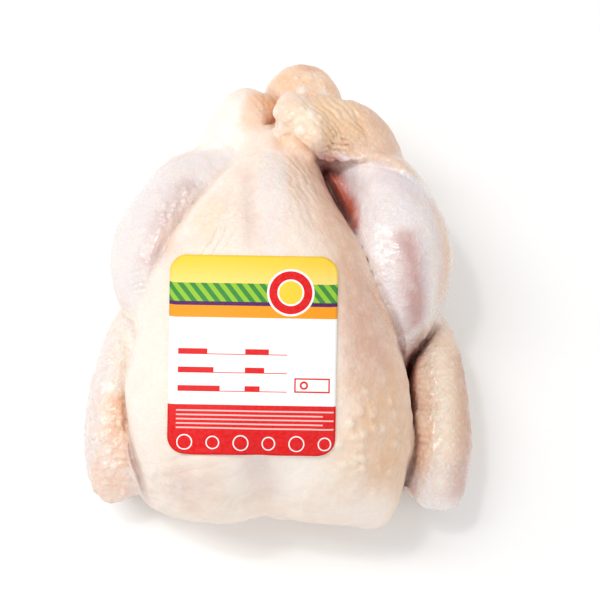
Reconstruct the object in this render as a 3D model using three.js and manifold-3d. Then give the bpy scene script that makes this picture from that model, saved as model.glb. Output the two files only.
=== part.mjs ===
// A whole raw chicken lying on its back, breast up, with a plain label stuck on the breast.
// Millimetres, +Z up. The origin is on the flat patch of back that the bird rests on, under its middle.
// -Y is the neck end, +Y the tail end, and +X is the right of someone who stands at the neck end.

import * as THREE from "three";
import { mergeVertices } from "three/addons/utils/BufferGeometryUtils.js";
import Module from "manifold-3d";

const wasm = await Module();
wasm.setup();

// Driving sizes of the bird
const NECK_END = -116;
const KEEL_TIP = 88;
const CROWN = 105;
const BREAST_HALF_WIDTH = 72;
const BREAST_MID_X = -3;
const ANKLE_HEIGHT = 78;
const TAIL_TIP = 134;

// The two sides of the bird differ a little: where the thigh starts, how far the knee, the wing and its
// shoulder reach out, how far the wing is set back, and where its elbow ends
const LEFT = { side: -1, groin: 22, kneeReach: 88, wingReach: 83, shoulder: 80, wingShift: 4, elbow: -101 };
const RIGHT = { side: 1, groin: 36, kneeReach: 93, wingReach: 84, shoulder: 85, wingShift: 0, elbow: -107 };

// The cleft between the two lobes of breast at the neck end, and the low keel ridge towards the tail
const CLEFT = { depth: 9, halfWidth: 15, from: -100, notch: 7 };
const KEEL = { height: 2.2, halfWidth: 9, from: 0 };

// Large enough to cover the whole bird
const COVER = 400;

// The label: paper with round corners, laid along the crown of the breast a hair above the skin. It is
// flat as cut, with its middle here and its tail end raised, and it is pressed onto the skin along
// lines that meet at a point high above the neck end.
const LABEL = { width: 78, length: 93, corner: 8.5, thick: 0.6, gap: 1.2, turn: -1, raised: 22 };
const LABEL_MIDDLE = new THREE.Vector3(-10, -51.5, 100.5);
const LABEL_STEPS = { across: 11, along: 23 };
const PRESS_POINT = new THREE.Vector3(12, -235, 625);

const SKIN = new THREE.MeshStandardMaterial({ color: 0xf4dcca, roughness: 0.42, metalness: 0 });
const PAPER = new THREE.MeshStandardMaterial({ color: 0xf7f6f2, roughness: 0.35, metalness: 0 });

// Smooth step from 0 at one value of x to 1 at another
function ease(zeroAt, oneAt, x) {
  const t = THREE.MathUtils.clamp((x - zeroAt) / (oneAt - zeroAt), 0, 1);
  return t * t * (3 - 2 * t);
}

// A rounded mass of flesh along a smooth spine. Each station is [x, y, z, half width, half height],
// fullness makes the first and last end blunter than an ellipsoid's, and square fills out the section.
function mass(stations, { rings = 18, sides = 24, fullness = [2.4, 2.4], square = 2 } = {}) {
  const curve = (points) => new THREE.CatmullRomCurve3(points, false, "catmullrom", 0.5);
  const spine = curve(stations.map(([x, y, z]) => new THREE.Vector3(x, y, z)));
  const girth = curve(stations.map(([, , , wide, high]) => new THREE.Vector3(wide, high, 0)));
  const geometry = new THREE.SphereGeometry(1, sides, rings);
  const position = geometry.getAttribute("position");
  const up = new THREE.Vector3(0, 0, 1);
  for (let i = 0; i < position.count; i++) {
    const along = THREE.MathUtils.clamp(position.getY(i), -1, 1);
    const share = (1 - along) / 2;
    const blunt = fullness[along > 0 ? 0 : 1];
    const bulk = (1 - Math.abs(along) ** blunt) ** (1 / blunt);
    const turn = Math.atan2(position.getZ(i), position.getX(i));
    const [cos, sin] = [Math.cos(turn), Math.sin(turn)];
    const reach = bulk * (Math.abs(cos) ** square + Math.abs(sin) ** square) ** (-1 / square);
    const tangent = spine.getTangent(share);
    const across = new THREE.Vector3().crossVectors(up, tangent).normalize();
    const above = new THREE.Vector3().crossVectors(tangent, across);
    const size = girth.getPoint(share);
    const place = spine.getPoint(share);
    place.addScaledVector(across, cos * reach * size.x);
    place.addScaledVector(above, sin * reach * size.y);
    position.setXYZ(i, place.x, place.y, place.z);
  }
  return geometry;
}

// Stations given for the bird's right, on either side of it
function onSide(side, stations) {
  return stations.map(([x, ...rest]) => [side * x, ...rest]);
}

// The breast's plump mass, then its cleft, its notch at the neck end and its keel
function breast() {
  const w = BREAST_HALF_WIDTH;
  const x = BREAST_MID_X;
  const geometry = mass([
    [x - 3, NECK_END, 30, w, 26],
    [x - 1, -82, 44, w, 53],
    [x - 1, -48, 52, w - 1, CROWN - 52],
    [x - 4, -14, 54, w - 9, CROWN - 54],
    [x - 3, 20, 54, w - 18, CROWN - 56],
    [x + 1, 54, 56, w - 33, CROWN - 62],
    [x + 8, KEEL_TIP, 64, w - 42, 22],
  ], { rings: 34, sides: 44, fullness: [5.6, 2.6], square: 2.25 });
  const position = geometry.getAttribute("position");
  for (let i = 0; i < position.count; i++) {
    const [fromMid, y, z] = [position.getX(i) - x, position.getY(i), position.getZ(i)];
    const nearCleft = Math.exp(-((fromMid / CLEFT.halfWidth) ** 2));
    const nearKeel = Math.exp(-((fromMid / KEEL.halfWidth) ** 2));
    const cleft = CLEFT.depth * ease(CLEFT.from, NECK_END, y) * nearCleft;
    const notch = CLEFT.notch * ease(NECK_END / 2, NECK_END, y) * nearCleft;
    const keel = KEEL.height * ease(KEEL.from, KEEL_TIP / 2, y) * nearKeel;
    position.setY(i, y + notch);
    position.setZ(i, z + ease(30, 70, z) * (keel - cleft));
  }
  return geometry;
}

// The back, ribs and rump, which the other masses lie on
function torso() {
  return mass([
    [-3, NECK_END + 8, 28, 52, 26],
    [-3, -60, 34, 64, 38],
    [-1, 5, 36, 60, 39],
    [2, 60, 38, 46, 36],
    [8, 108, 44, 24, 20],
  ], { rings: 22, sides: 30, fullness: [3, 2.8] });
}

// The broad thigh from the groin to the flank, with the knee's bulge outside
function thigh({ side, groin, kneeReach }) {
  const knee = kneeReach - 30;
  return mass(onSide(side, [
    [groin, 79, 58, 15, 19],
    [(groin + knee) / 2 + 6, 57, 54, 23, 31],
    [knee, 20, 48, 30, 38],
    [knee - 2, -14, 44, 22, 33],
    [knee - 4, -38, 40, 12, 20],
  ]), { rings: 24, sides: 28, fullness: [2.4, 2.3] });
}

// The right drumstick crosses over the left one, and its ankle lies on the keel's tip
function rightDrumstick() {
  return mass([
    [66, 26, 42, 14, 20],
    [55, 60, 50, 18, 22],
    [44, 82, 60, 20, 20],
    [24, 88, 70, 20, 17],
    [5, 92, ANKLE_HEIGHT, 14, 14],
  ], { rings: 22, sides: 24, fullness: [2.4, 3.2] });
}

// The left drumstick is tucked under the thigh's bulge, and only its ankle end shows from above
function leftDrumstick() {
  return mass([
    [-46, 30, 38, 16, 18],
    [-36, 58, 43, 19, 20],
    [-27, 79, 51, 19, 20],
    [-19, 96, 59, 18, 17],
    [-8, 112, ANKLE_HEIGHT - 13, 17, 14],
  ], { rings: 22, sides: 24, fullness: [2.4, 3] });
}

// The knob of cartilage on the upper side of the right ankle: two round condyles side by side
function ankleKnob() {
  const [x, y, z] = [11, 85, ANKLE_HEIGHT + 3];
  return [-1, 1].map((side) => mass([
    [x + 5 * side, y - 5 * side - 11, z, 10, 10],
    [x + 5 * side, y - 5 * side + 11, z, 10, 10],
  ], { rings: 12, sides: 14 }));
}

// The folded wing: forearm outside, upper arm inside it, and the tip folded back under both
function wing({ side, wingReach, shoulder, wingShift, elbow }) {
  const [x, y] = [wingReach, wingShift];
  const forearm = [
    [shoulder, y - 4, 29, 12, 12],
    [(x + shoulder) / 2, y - 40, 30, 14, 17],
    [x, y - 74, 28, 16, 20],
    [x - 6, elbow, 24, 18, 18],
  ];
  const upperArm = [
    [x - 36, y - 96, 32, 22, 26],
    [x - 22, y - 54, 27, 22, 23],
    [x - 6, y - 10, 22, 14, 15],
  ];
  const tip = [
    [x - 6, y - 104, 15, 13, 11],
    [x + 1, y - 70, 13, 14, 10],
    [x + 2, y - 30, 13, 10, 7],
  ];
  return [
    mass(onSide(side, forearm), { rings: 20, sides: 22, fullness: [2.6, 4] }),
    mass(onSide(side, upperArm), { rings: 14, sides: 20 }),
    mass(onSide(side, tip), { rings: 12, sides: 14 }),
  ];
}

// The tail, a short fleshy wedge behind the ankles
function tail() {
  return mass([
    [8, 84, 46, 26, 22],
    [13, 108, 52, 25, 17],
    [16, TAIL_TIP, 59, 19, 12],
  ], { rings: 14, sides: 20, fullness: [2.4, 2.6] });
}

// A closed three.js geometry as a solid that can be joined and cut
function solidOf(geometry) {
  const bare = new THREE.BufferGeometry();
  bare.setAttribute("position", geometry.getAttribute("position"));
  bare.setIndex(geometry.getIndex());
  const merged = mergeVertices(bare, 1e-4);
  const index = merged.getIndex().array;
  const triVerts = [];
  for (let i = 0; i < index.length; i += 3) {
    const [a, b, c] = index.slice(i, i + 3);
    if (a !== b && b !== c && c !== a) triVerts.push(a, b, c);
  }
  return new wasm.Manifold(new wasm.Mesh({
    numProp: 3,
    vertProperties: new Float32Array(merged.getAttribute("position").array),
    triVerts: new Uint32Array(triVerts),
  }));
}

// A solid back as a three.js geometry
function geometryOf(solid) {
  const { vertProperties, triVerts } = solid.getMesh();
  const geometry = new THREE.BufferGeometry();
  geometry.setAttribute("position", new THREE.BufferAttribute(vertProperties, 3));
  geometry.setIndex(new THREE.BufferAttribute(triVerts, 1));
  return geometry;
}

// The whole bird as one solid, pressed flat by its own weight where it rests
function bird() {
  const masses = [
    breast(), torso(), tail(), leftDrumstick(), rightDrumstick(), ...ankleKnob(),
    ...[LEFT, RIGHT].flatMap((side) => [thigh(side), ...wing(side)]),
  ];
  const joined = masses.map(solidOf).reduce((whole, each) => whole.add(each));
  const below = new THREE.BoxGeometry(COVER, COVER, COVER).translate(0, 0, -COVER / 2);
  return joined.subtract(solidOf(below));
}

// Where a point of the flat label meets the skin
function pressedOn(skin, point) {
  const way = new THREE.Vector3().subVectors(point, PRESS_POINT).normalize();
  return new THREE.Raycaster(PRESS_POINT, way).intersectObject(skin)[0].point;
}

// A point of the label's square outline, pulled in to its round corner
function roundedIn(x, y) {
  const flat = new THREE.Vector2(LABEL.width / 2 - LABEL.corner, LABEL.length / 2 - LABEL.corner);
  const over = new THREE.Vector2(Math.abs(x) - flat.x, Math.abs(y) - flat.y);
  if (over.x <= 0 || over.y <= 0) return [x, y];
  const pull = Math.max(over.x, over.y) / over.length();
  return [Math.sign(x) * (flat.x + over.x * pull), Math.sign(y) * (flat.y + over.y * pull)];
}

// The label: a thin sheet that follows the skin
function label(skin) {
  const { width, length, thick, gap } = LABEL;
  const geometry = new THREE.BoxGeometry(width, length, thick, LABEL_STEPS.across, LABEL_STEPS.along, 1);
  const position = geometry.getAttribute("position");
  const { degToRad } = THREE.MathUtils;
  const tilt = new THREE.Euler(degToRad(LABEL.raised), 0, degToRad(LABEL.turn));
  for (let i = 0; i < position.count; i++) {
    const cut = new THREE.Vector3(...roundedIn(position.getX(i), position.getY(i)), 0);
    const place = pressedOn(skin, cut.applyEuler(tilt).add(LABEL_MIDDLE));
    position.setXYZ(i, place.x, place.y, place.z + gap + thick / 2 + position.getZ(i));
  }
  return geometry;
}

const chicken = new THREE.Mesh(geometryOf(bird()), SKIN);
chicken.name = "chicken";
chicken.updateMatrixWorld();

const sticker = new THREE.Mesh(label(chicken), PAPER);
sticker.name = "label";

const group = new THREE.Group();
group.add(chicken, sticker);

export default group;
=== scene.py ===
"""A whole raw chicken on its back, breast up, with a plain printed label stuck on the breast.

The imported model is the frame. The bird's masses of flesh are modelled again around it, joined under one
skin and given the folds, wrinkles, goosebumps and thin places of the real one. The label is a thin sheet
laid on that skin. Places on them are in millimetres in the model's frame, and those of the studio in
metres, like every finished mesh.
"""

import logging
import math
from collections.abc import Iterator
from dataclasses import dataclass
from enum import Enum

import bmesh
import bpy
import numpy as np
from mathutils import Matrix, Vector, noise
from mathutils.bvhtree import BVHTree


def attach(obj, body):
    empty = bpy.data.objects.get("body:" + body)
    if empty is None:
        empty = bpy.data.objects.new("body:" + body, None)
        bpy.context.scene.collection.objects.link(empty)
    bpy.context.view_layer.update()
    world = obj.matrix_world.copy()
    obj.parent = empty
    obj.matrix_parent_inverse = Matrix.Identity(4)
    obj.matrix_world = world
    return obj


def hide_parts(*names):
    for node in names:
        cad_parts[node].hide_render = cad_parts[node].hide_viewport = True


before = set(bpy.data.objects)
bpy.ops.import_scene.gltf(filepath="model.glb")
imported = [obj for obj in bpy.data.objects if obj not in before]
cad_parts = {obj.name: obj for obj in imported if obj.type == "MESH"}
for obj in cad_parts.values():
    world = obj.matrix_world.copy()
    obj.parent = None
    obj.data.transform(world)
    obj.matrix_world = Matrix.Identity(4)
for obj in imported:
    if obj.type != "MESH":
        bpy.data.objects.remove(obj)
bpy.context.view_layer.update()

MM = 0.001
BODY = "root"

Colour = tuple[float, float, float, float]
Point = tuple[float, float, float]

log = logging.getLogger("scene")


def linear(red: float, green: float, blue: float) -> Colour:
    """A colour given as seen on a screen, as the linear colour that a shader takes.

    Args:
        red, green, blue: The colour's parts from 0 to 255.

    Returns:
        The linear colour with an alpha of 1.
    """
    parts = [part / 255 for part in (red, green, blue)]
    red, green, blue = (p / 12.92 if p <= 0.04045 else ((p + 0.055) / 1.055) ** 2.4 for p in parts)
    return red, green, blue, 1.0


def ease(zero_at: float, one_at: float, value: np.ndarray | float) -> np.ndarray | float:
    """A smooth step.

    Args:
        zero_at: The value where the step is 0.
        one_at: The value where the step is 1, which may be the lower of the two.
        value: Where to read the step.

    Returns:
        The step's height from 0 to 1.
    """
    t = np.clip((value - zero_at) / (one_at - zero_at), 0, 1)
    return t * t * (3 - 2 * t)


def lumps(places: np.ndarray, size: float, seed: float = 0.0) -> np.ndarray:
    """Smooth noise in space.

    Args:
        places: The points, one a row, in millimetres.
        size: About how far apart the lumps are.
        seed: Shifts the noise, so that two layers differ.

    Returns:
        A height from about -1 to 1 for each point.
    """
    return np.array([noise.noise(Vector(place)) for place in places / size + seed])


def stretches(places: np.ndarray, line: np.ndarray) -> Iterator[tuple[np.ndarray, ...]]:
    """Sees each stretch of a line from some points.

    Args:
        places: The points, one a row, with the coordinates in which distances count.
        line: The line's points, one a row, which may have further numbers.

    Yields:
        Both ends of a stretch, and for each point how far along the stretch its nearest place lies, from
        0 to 1, and how far away that place is.
    """
    size = places.shape[1]
    for a, b in zip(line, line[1:]):
        off, way = places - a[:size], (b - a)[:size]
        share = np.clip(off @ way / (way @ way), 0, 1)
        yield a, b, share, np.linalg.norm(off - share[:, None] * way, axis=1)


def nearest(places: np.ndarray, line: np.ndarray) -> tuple[np.ndarray, np.ndarray, np.ndarray]:
    """Finds where some points lie beside a line.

    Args:
        places: The points, one a row.
        line: The line's points, one a row.

    Returns:
        For each point its distance from the line, how far along the line it lies from 0 to 1, and in plan
        the side of the line that it is on, 1 for left and -1 for right.
    """
    away = np.full(len(places), np.inf)
    along, side = np.zeros((2, len(places)))
    for i, (a, b, share, far) in enumerate(stretches(places, line)):
        off, way = places - a, b - a
        nearer = far < away
        along = np.where(nearer, (i + share) / (len(line) - 1), along)
        side = np.where(nearer, np.sign(way[0] * off[:, 1] - way[1] * off[:, 0]), side)
        away = np.minimum(far, away)
    return away, along, side


def points(mesh: bmesh.types.BMesh) -> np.ndarray:
    """Where the points of a mesh in metres are, in millimetres, one a row."""
    return np.array([vert.co for vert in mesh.verts]) / MM


def placed(name: str, data: bpy.types.ID) -> bpy.types.Object:
    """Makes an object of some data and adds it to the scene."""
    item = bpy.data.objects.new(name, data)
    bpy.context.scene.collection.objects.link(item)
    return item


def dressed(name: str, mesh: bpy.types.Mesh, material: bpy.types.Material) -> bpy.types.Object:
    """Makes an object of a mesh, shaded smooth and of one material, and adds it to the scene."""
    for polygon in mesh.polygons:
        polygon.use_smooth = True
    mesh.materials.append(material)
    return placed(name, mesh)


class Side(Enum):
    """The bird's two sides, as seen from its neck end."""

    LEFT = -1
    RIGHT = 1


@dataclass(frozen=True)
class Pair:
    """A measure that differs between the bird's two sides."""

    left: float
    right: float

    def on(self, side: Side) -> float:
        """The measure on one side."""
        return self.left if side is Side.LEFT else self.right


class Tint(Enum):
    """What colours the skin besides its own cream, as the colour of each where it is strongest. Some tints
    are partly painted light and shade as well as the skin's own colours.
    """

    # Partly painted light: paler where the light falls fully, on the left side, the breast's front and the
    # wings; partly pale skin.
    PALE_AND_LIT = linear(254, 249, 243)
    # Partly painted shade: the right breast and the right wing's outer side, which face away from the key
    # light; partly the real tan of the drumstick and ankle.
    WARM_AND_SHADED = linear(230, 189, 160)
    THIN = linear(236, 231, 235)
    # Partly painted shade: darkens the neck end's cleft, the lower left lobe, the keel's groove, the right
    # breast and the right wing's outer side; elsewhere meat showing through thin skin.
    MEAT_AND_SHADE = linear(206, 168, 164)
    FAT = linear(246, 218, 166)
    BLUSH = linear(247, 188, 140)
    GRISTLE = linear(250, 242, 232)
    # Partly painted shade: the red beside the gaps and in the groin, where the creases' shade fades out;
    # partly the red of meat, as at the tail's tip.
    FLUSH = linear(202, 108, 88)
    # Painted shade with the meat's red: the dark colour that fills the gaps between masses.
    GAP = linear(78, 24, 20)


@dataclass(frozen=True)
class Spine:
    """A smooth curve through a row of points, which may have any number of coordinates."""

    points: tuple[tuple[float, ...], ...]

    def at(self, share: float) -> np.ndarray:
        """The point at a share of the way, counted in equal steps from point to point."""
        rows = np.array(self.points, float)
        place = share * (len(rows) - 1)
        first = min(int(place), len(rows) - 2)
        t = place - first
        a, b = rows[first], rows[first + 1]
        before = rows[first - 1] if first > 0 else 2 * a - b
        after = rows[first + 2] if first + 2 < len(rows) else 2 * b - a
        leaving, reaching = (b - before) / 2, (after - a) / 2
        bend = 3 * (b - a) - 2 * leaving - reaching
        twist = 2 * (a - b) + leaving + reaching
        return a + leaving * t + bend * t**2 + twist * t**3

    def line(self, steps: int) -> np.ndarray:
        """Points of the curve, one a row, at equal steps from its start to its end."""
        return np.array([self.at(i / steps) for i in range(steps + 1)])

    def heading(self, share: float) -> np.ndarray:
        """The unit direction of the first three coordinates at a share of the way."""
        step = 1e-4
        way = self.at(min(share + step, 1)) - self.at(max(share - step, 0))
        return way[:3] / np.linalg.norm(way[:3])


@dataclass(frozen=True)
class Mass:
    """A rounded mass of flesh along a spine.

    Each station is x, y, z, half width and half height. Fullness makes the first and last end blunter
    than an ellipsoid's, and square fills out the section.
    """

    stations: tuple[tuple[float, ...], ...]
    fullness: tuple[float, float] = (2.4, 2.4)
    square: float = 2.0

    def place(self, on_ball: Vector) -> np.ndarray:
        """Where a point of a unit ball goes on the mass, in millimetres."""
        along = max(-1.0, min(1.0, on_ball.z))
        share = (1 + along) / 2
        blunt = self.fullness[0 if along < 0 else 1]
        bulk = (1 - abs(along) ** blunt) ** (1 / blunt)
        turn = math.atan2(on_ball.y, on_ball.x)
        cos, sin = math.cos(turn), math.sin(turn)
        reach = bulk * (abs(cos) ** self.square + abs(sin) ** self.square) ** (-1 / self.square)
        spine = Spine(self.stations)
        middle = spine.at(share)
        heading = spine.heading(share)
        across = np.cross((0, 0, 1), heading)
        across /= np.linalg.norm(across)
        above = np.cross(heading, across)
        return middle[:3] + across * cos * reach * middle[3] + above * sin * reach * middle[4]

    def add_to(self, mesh: bmesh.types.BMesh, rings: int = 30, sides: int = 40) -> None:
        """Adds the mass to a mesh as a closed shell.

        Args:
            mesh: The mesh, in metres, that gets the shell.
            rings: Rings from end to end.
            sides: Sides of each ring.
        """
        ball = bmesh.ops.create_uvsphere(mesh, u_segments=sides, v_segments=rings, radius=1.0)
        for vert in ball["verts"]:
            vert.co = Vector(self.place(vert.co)) * MM


@dataclass(frozen=True)
class Breast(Mass):
    """The breast's mass, with a cleft and notch between its lobes at the neck end, and a keel."""

    mid_x: float = -3.0
    neck_end: float = -116.0
    keel_tip: float = 88.0
    cleft_depth: float = 9.0
    cleft_from: float = -100.0
    cleft_half_width: float = 15.0
    notch: float = 7.0
    keel_height: float = 2.2
    keel_half_width: float = 9.0

    def place(self, on_ball: Vector) -> np.ndarray:
        """Where a point of a unit ball goes on the breast, in millimetres."""
        x, y, z = super().place(on_ball)
        near_cleft = math.exp(-(((x - self.mid_x) / self.cleft_half_width) ** 2))
        near_keel = math.exp(-(((x - self.mid_x) / self.keel_half_width) ** 2))
        cleft = self.cleft_depth * ease(self.cleft_from, self.neck_end, y) * near_cleft
        notch = self.notch * ease(self.neck_end / 2, self.neck_end, y) * near_cleft
        keel = self.keel_height * ease(0, self.keel_tip / 2, y) * near_keel
        return np.array((x, y + notch, z + ease(30, 70, z) * (keel - cleft)))


@dataclass(frozen=True)
class Patch:
    """A soft-edged region of skin: an ellipsoid in space, turned about the upright by some degrees."""

    centre: Point
    reach: Point
    strength: float = 1.0
    turn: float = 0.0
    soft: float = 0.5

    def weight(self, places: np.ndarray) -> np.ndarray:
        """How strongly each point belongs to the patch, from 0 to its strength."""
        turned = (places - self.centre) @ np.array(Matrix.Rotation(math.radians(self.turn), 3, "Z"))
        away = np.linalg.norm(turned / self.reach, axis=1)
        return self.strength * ease(1 + self.soft, 1 - self.soft, away)


@dataclass(frozen=True)
class Stroke:
    """A soft-edged band of skin along a smooth path, with both ends fading out."""

    path: tuple[Point, ...]
    half_width: float
    strength: float = 1.0
    steps: int = 24

    def weight(self, places: np.ndarray) -> np.ndarray:
        """How strongly each point belongs to the band, from 0 to its strength."""
        away, along, _ = nearest(places, Spine(self.path).line(self.steps))
        ends = ease(0, 0.15, along) * ease(1, 0.85, along)
        return self.strength * np.exp(-((away / self.half_width) ** 2)) * ends


@dataclass(frozen=True)
class Field:
    """A region of skin over a floor, with a border drawn in plan as a closed row of x and y.

    On the flanks, under the level, the border gets softer the lower it lies.
    """

    border: tuple[tuple[float, float], ...]
    soft: float = 1.2
    strength: float = 1.0
    floor: float = 40.0
    level: float = 66.0
    spread: float = 0.45

    def weight(self, places: np.ndarray) -> np.ndarray:
        """How strongly each point belongs to the field, from 0 to its strength."""
        x, y, z = places.T
        away = np.full(len(places), np.inf)
        inside = np.zeros(len(places), bool)
        for a, b, _, far in stretches(places[:, :2], np.array((*self.border, self.border[0]), float)):
            away = np.minimum(away, far)
            if a[1] != b[1]:
                crossing = a[0] + (y - a[1]) * (b[0] - a[0]) / (b[1] - a[1])
                inside ^= ((a[1] > y) != (b[1] > y)) & (x < crossing)
        over = ease(self.floor - 12, self.floor + 12, z)
        soft = self.soft + self.spread * np.maximum(0, self.level - z)
        return self.strength * over * ease(-1, 1, np.where(inside, away, -away) / soft)


@dataclass(frozen=True)
class Slot:
    """A narrow gap where two masses meet, cut straight down into the skin.

    Each point of its path is x, y, depth, half width and how dark the painted shade in it is, a dark red of
    meat in shade. The floor is the height under which the skin is left alone, and over the ceiling it isn't
    shaded.
    """

    DEPTH, HALF_WIDTH, DARKNESS = 2, 3, 4

    path: tuple[tuple[float, float, float, float, float], ...]
    floor: float = 18.0
    ceiling: float = 200.0
    steps: int = 40

    def read(self, places: np.ndarray, column: int, wider: float = 1.0) -> np.ndarray:
        """Reads the depth or the painted shade of the gap, which fades to its sides.

        Args:
            places: The points, one a row.
            column: Which number of the path's points to read.
            wider: How many times wider than it is to read the gap.

        Returns:
            The value at each point.
        """
        most = np.zeros(len(places))
        for a, b, share, far in stretches(places[:, :2], Spine(self.path).line(self.steps)):
            here = a + share[:, None] * (b - a)
            away = far / (here[:, self.HALF_WIDTH] * wider)
            most = np.maximum(most, here[:, column] * np.exp(-(away**2)))
        return most * ease(self.floor, self.floor + 12, places[:, 2])

    def depth(self, places: np.ndarray) -> np.ndarray:
        """How deep the gap is at each point, in millimetres."""
        return self.read(places, self.DEPTH)

    def shade(self, places: np.ndarray, wider: float) -> np.ndarray:
        """How dark the gap's painted shade is at each point, from 0 to 1, read a number of times wider than
        it is.
        """
        under = ease(self.ceiling + 3, self.ceiling - 3, places[:, 2])
        return under * self.read(places, self.DARKNESS, wider)

    def weight(self, places: np.ndarray) -> np.ndarray:
        """How dark the painted shade, a dark meat red, in and beside the gap is at each point, from 0 to 1.
        """
        return self.shade(places, 1.4)


@dataclass(frozen=True)
class Rim:
    """The skin on both sides of a gap, reddened as far as the gap's painted shade reaches: partly the
    meat's colour shining through, partly a painted shade fading out from the crease.
    """

    slot: Slot
    wider: float = 2.6
    strength: float = 0.6

    def weight(self, places: np.ndarray) -> np.ndarray:
        """How strongly each point belongs to the rim, from 0 to its strength."""
        return self.strength * self.slot.shade(places, self.wider)


Region = Patch | Stroke | Field | Slot | Rim


@dataclass(frozen=True)
class Bumps:
    """Feather follicles that stand up in a region."""

    region: Region
    spacing: float
    height: float

    def heights(self, places: np.ndarray) -> np.ndarray:
        """How far each point of the skin is raised, in millimetres."""
        window = self.region.weight(places)
        raised = np.zeros(len(places))
        for i in np.flatnonzero(window > 0.02):
            (nearest, *_), (seed, *_) = noise.voronoi(Vector(places[i] / self.spacing))
            size = 0.75 + 0.5 * noise.noise(seed * 1.7)
            raised[i] = self.height * window[i] * size * ease(0.62, 0.08, nearest)
        return raised


@dataclass(frozen=True)
class Wrinkles:
    """Parallel folds of loose skin across a region, that run at a heading in plan."""

    region: Region
    heading: float
    spacing: float
    height: float
    wander: float = 0.6
    seed: float = 0.0

    def heights(self, places: np.ndarray) -> np.ndarray:
        """How far each point of the skin is raised, in millimetres."""
        window = self.region.weight(places)
        inside = window > 0.02
        here = places[inside]
        turn = math.radians(self.heading)
        across = here @ (-math.sin(turn), math.cos(turn), 0.35)
        phase = across / self.spacing + self.wander * lumps(here, 4.5 * self.spacing, self.seed)
        phase += 0.45 * self.wander * lumps(here, 1.6 * self.spacing, self.seed + 3)
        patchy = 0.7 + 0.9 * lumps(here, 2.4 * self.spacing, self.seed + 9)
        raised = np.zeros(len(places))
        raised[inside] = self.height * window[inside] * patchy * (np.abs(np.sin(math.pi * phase)) - 0.6)
        return raised


@dataclass(frozen=True)
class Fold:
    """One raised fold of skin along a path, or a groove where its height is below 0."""

    stroke: Stroke
    height: float

    def heights(self, places: np.ndarray) -> np.ndarray:
        """How far each point of the skin is raised, in millimetres."""
        return self.height * self.stroke.weight(places)


@dataclass(frozen=True)
class Flap:
    """A flap of loose skin with a ragged free edge, which lies to the left of the edge's path in plan."""

    path: tuple[tuple[float, float], ...]
    height: float
    reach: float
    ragged: float = 1.0
    steps: int = 24

    def heights(self, places: np.ndarray) -> np.ndarray:
        """How far each point of the skin is raised, in millimetres."""
        away, along, side = nearest(places[:, :2], Spine(self.path).line(self.steps))
        raised = np.zeros(len(places))
        close = away < 3 * self.reach
        inward = (side * away)[close] + self.ragged * lumps(places[close] * (1, 1, 0), 3.2, 1.3)
        ends = ease(0, 0.12, along[close]) * ease(1, 0.75, along[close])
        raised[close] = self.height * ends * ease(-0.7, 0.7, inward) * np.exp(-((inward / self.reach) ** 2))
        return raised * ease(50, 62, places[:, 2])


@dataclass(frozen=True)
class Unevenness:
    """The soft unevenness of flesh under skin, all over."""

    size: float
    height: float
    seed: float

    def heights(self, places: np.ndarray) -> np.ndarray:
        """How far each point of the skin is raised, in millimetres."""
        return self.height * lumps(places, self.size, self.seed)


Relief = Bumps | Wrinkles | Fold | Flap | Unevenness


@dataclass(frozen=True)
class NeckEdge:
    """The wavy cut edge of the neck skin, which lies round the front of the breast like a lip.

    Each of its lobes is a middle's x, a half width and how far the front is pushed out there.
    """

    level: float = 31.0
    wave: float = 4.0
    lip: float = 2.0
    lip_height: float = 4.5
    tuck: float = 3.5
    front: float = -96.0
    lobes: tuple[tuple[float, float, float], ...] = ((22, 16, -3.0), (54, 7, 3.2))

    def push(self, places: np.ndarray) -> np.ndarray:
        """How far each point moves towards the neck end, in millimetres."""
        row = np.column_stack((places[:, 0], np.zeros(len(places)), np.zeros(len(places))))
        level = self.level + self.wave * lumps(row, 17, 4.4) + 0.4 * self.wave * lumps(row, 6, 8.1)
        ragged = 1 + 0.7 * lumps(row, 9, 2.7) + 0.6 * lumps(row, 4, 6.3)
        above = places[:, 2] - level
        profile = np.where(above > 0, np.exp(-((above / self.lip_height) ** 2)), ease(-3.0, 0, above))
        under = ease(0, -4, above) * ease(-26, -12, above)
        out = self.lip * ragged * profile - self.tuck * under
        for middle, half_width, push in self.lobes:
            out += push * np.exp(-(((places[:, 0] - middle) / half_width) ** 2)) * ease(8, 24, places[:, 2])
        return ease(self.front + 8, self.front - 8, places[:, 1]) * out


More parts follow.
